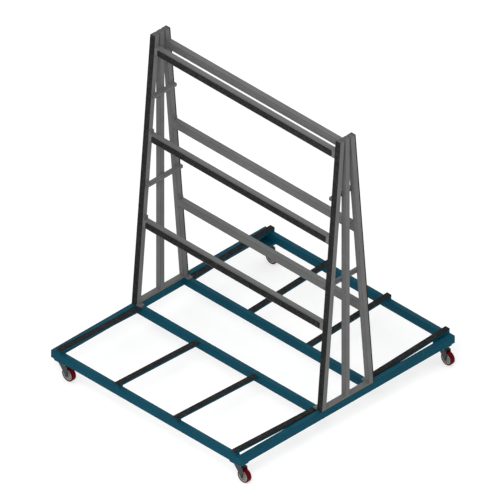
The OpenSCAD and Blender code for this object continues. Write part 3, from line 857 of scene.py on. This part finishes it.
HUB_R, HUB_HALF, HUB_FACE, HUB_WEB, HUB_BORE = 0.040, 0.0207, 0.016, 0.004, 0.0051
WHEEL_R, TREAD_HALF, SHOULDER = 0.050, 0.018, 0.0045
wheel_spot = Matrix.Translation((TRAIL, 0, AXLE_Z)) @ Matrix.Rotation(math.pi / 2, 4, "X")

for corner, spot in CORNERS.items():
    # The upper half of the race hangs from the plate and ends just above the lower half
    low_top = CROWN_TOP + RACE_T
    race_low = low_top + RUNNING_GAP
    upper_race = turned([(0, race_low), (RACE_R - 0.003, race_low), (RACE_R, race_low + 0.002),
                         (RACE_R, PLATE_Z - 0.004), (RACE_R - 0.002, PLATE_Z), (0, PLATE_Z)],
                        steps=56)
    rivet_low = CROWN_Z - RUNNING_GAP - KINGPIN_HEAD_T
    rivet_top = rivet_low + KINGPIN_HEAD_T
    kingpin = turned([(0, rivet_low), (0.008, rivet_low), (KINGPIN_HEAD_R, rivet_low + 0.0013),
                      (KINGPIN_HEAD_R, rivet_top), (KINGPIN_R, rivet_top),
                      (KINGPIN_R, race_low), (0, race_low)], steps=32)
    finish_piece(f"{corner}_plate_pressed",
                 [(plate(PLATE_Z, PAD_Z, PLATE_CORNER), [spot]), (upper_race, [spot]),
                  (kingpin, [spot])],
                 grey_zinc, [f"{corner}_plate"])

    # The lower half of the race is let into the crown
    low_foot = CROWN_Z + 0.0003
    lower_race = turned([(KINGPIN_HOLE_R, low_foot), (RACE_R, low_foot),
                         (RACE_R, low_top - 0.0015), (RACE_R - 0.0015, low_top),
                         (KINGPIN_HOLE_R, low_top)], steps=56)
    side_boss = turned([(0, 0), (BOSS_R - 0.0005, 0), (BOSS_R + 0.0005, -0.0004),
                        (0, -0.0004)], steps=32)
    bosses = [spot @ Matrix.Translation((TRAIL, way * (FORK_OUT - 0.0001), AXLE_Z))
              @ Matrix.Rotation(-way * math.pi / 2, 4, "X") for way in (-1, 1)]
    finish_piece(f"{corner}_fork_pressed",
                 [(fork_sheet(), [spot]), (lower_race, [spot]), (side_boss, bosses)],
                 grey_zinc, [f"{corner}_fork"], f"{corner}_caster")

    axle = moved(bolt(M10_R, AXLE_FLATS, M10_HEAD, M10_NUT, 2 * FORK_OUT),
                 Matrix.Translation((TRAIL, FORK_OUT, AXLE_Z))
                 @ Matrix.Rotation(-math.pi / 2, 4, "X"))
    finish_piece(f"{corner}_axle_plated", [(axle, [spot])], dark_zinc,
                 [f"{corner}_axle"], f"{corner}_caster")

    hub = turned(both_halves([(HUB_BORE, HUB_HALF), (0.012, HUB_HALF), (0.014, 0.019),
                              (0.0145, HUB_WEB + 0.002), (0.017, HUB_WEB), (0.031, HUB_WEB),
                              (0.033, HUB_WEB + 0.002), (0.0335, HUB_FACE - 0.001),
                              (0.035, HUB_FACE), (HUB_R, HUB_FACE)]), steps=64)
    finish_piece(f"{corner}_hub_moulded", [(hub, [spot @ wheel_spot])], pale_nylon,
                 [f"{corner}_hub"], f"{corner}_wheel")

    round_off = [math.radians(18 * step) for step in range(6)]
    shoulder = [(WHEEL_R - SHOULDER + SHOULDER * math.sin(a),
                 TREAD_HALF - SHOULDER + SHOULDER * math.cos(a)) for a in round_off]
    tread = turned(both_halves([(HUB_R + 0.0003, TREAD_HALF - 0.0015),
                                (HUB_R + 0.001, TREAD_HALF), *shoulder]), steps=72)
    worn = tread.faces.layers.float["edge"]
    for face in tread.faces:
        middle = face.calc_center_median()
        face[worn] = 1.0 if math.hypot(middle.x, middle.y) > WHEEL_R - 0.0012 else 0.0
    finish_piece(f"{corner}_tread_cast", [(tread, [spot @ wheel_spot])], red_tread,
                 [f"{corner}_tyre"], f"{corner}_wheel")


# ---------------------------------------------------------------- Weld beads
# Fillet welds, ground off where they would stand proud and coated with the tubes that they
# join: small rippled beads in the inside corners.
BEAD_STEP, RIPPLE, RIPPLES_PER_STEP, END_TAPER = 0.004, 0.16, 0.77, 0.35
# The radii of the beads, and how far they stop short of the ends of their corners
BEAM_WELD, TIE_WELD, RAIL_WELD, FOOT_WELD, SMALL_WELD = 0.0032, 0.0024, 0.0026, 0.0028, 0.0022
SHORT, SHORTER = 0.003, 0.004


def bead(start, finish, size):
    """A rippled bead along a straight line"""
    shape = new_shape()
    start, finish = Vector(start), Vector(finish)
    run = (finish - start).length
    bmesh.ops.create_cone(shape, cap_ends=True, segments=8, radius1=size, radius2=size,
                          depth=run)
    bmesh.ops.subdivide_edges(shape, edges=edges_along(shape, 2),
                              cuts=max(3, round(run / BEAD_STEP)))
    for vert in shape.verts:
        turns = vert.co.z / BEAD_STEP * RIPPLES_PER_STEP
        ripple = 1 + RIPPLE * math.sin(math.tau * turns)
        taper = min(1.0, (run / 2 - abs(vert.co.z)) / size + END_TAPER)
        vert.co.x *= ripple * taper
        vert.co.y *= ripple * taper
    turn = (finish - start).to_track_quat("Z", "Y").to_matrix().to_4x4()
    return moved(shape, Matrix.Translation((start + finish) / 2) @ turn)


base_beads = [(bead((LEG_X, y, BASE_TOP - BEAM_H + SHORT), (LEG_X, y, BASE_TOP - SHORTER),
                    BEAM_WELD), EVERYWHERE)
              for y in (INNER_BEAM_Y - BEAM_W / 2, INNER_FACE_Y, BASE_W / 2 - BEAM_W)]
bar_foot = BASE_TOP - STRIP_T - BAR_H
for start in BAR_STARTS:
    for x in (start, start + BAR_W):
        base_beads.append((bead((x, INNER_FACE_Y, bar_foot + 0.001),
                                (x, INNER_FACE_Y, bar_foot + BAR_H - 0.001), SMALL_WELD),
                           SIDES.values()))
        base_beads.append((bead((x, BASE_W / 2 - BEAM_W + SHORT, BASE_TOP),
                                (x, BASE_W / 2 - SHORTER, BASE_TOP), SMALL_WELD),
                           SIDES.values()))
finish_piece("base_welds_coated", base_beads, petrol_coat)

frame_beads = []
for middle in TIES.values():
    reach = half_spread(middle)
    for z in (middle - TIE_H / 2, middle + TIE_H / 2):
        frame_beads.append((bead((LEG_X, reach - LEG + SHORT, z), (LEG_X, reach - SHORTER, z),
                                 TIE_WELD), EVERYWHERE))
        frame_beads.append((bead((LEG_X, -LEG / 2 + SHORTER, z), (LEG_X, LEG / 2 - SHORTER, z),
                                 TIE_WELD), ENDS.values()))
for z in (LAST_RAIL - RAIL_H / 2, LAST_RAIL + RAIL_H / 2):
    weld = bead((LEG_X, -LEG + SHORTER, z), (LEG_X, -SHORTER, z), RAIL_WELD)
    frame_beads.append((moved(weld, lean_frame), EVERYWHERE))
for level in ("lower", "middle"):
    x, z = LEG_X - LUG_T, RAILS[level] + RAIL_H / 2
    weld = bead((x, -LEG + SHORT, z), (x, -SHORT, z), SMALL_WELD)
    frame_beads.append((moved(weld, lean_frame), EVERYWHERE))
frame_beads.append((bead((LEG_X, INNER_BEAM_Y - BEAM_W / 2 + SHORTER, TAB_TOP),
                         (LEG_X, FOOT_Y - SHORTER, TAB_TOP), FOOT_WELD), EVERYWHERE))
foot_top = BASE_TOP + FOOT_BAR_H
for y in (LEG / 2, inner_face.y - FOOT_BAR_H * math.tan(lean)):
    frame_beads.append((bead((LEG_X + SHORTER, y, foot_top),
                             (LEG_X + LEG - SHORTER, y, foot_top), FOOT_WELD), EVERYWHERE))
finish_piece("frame_welds_coated", frame_beads, grey_coat)
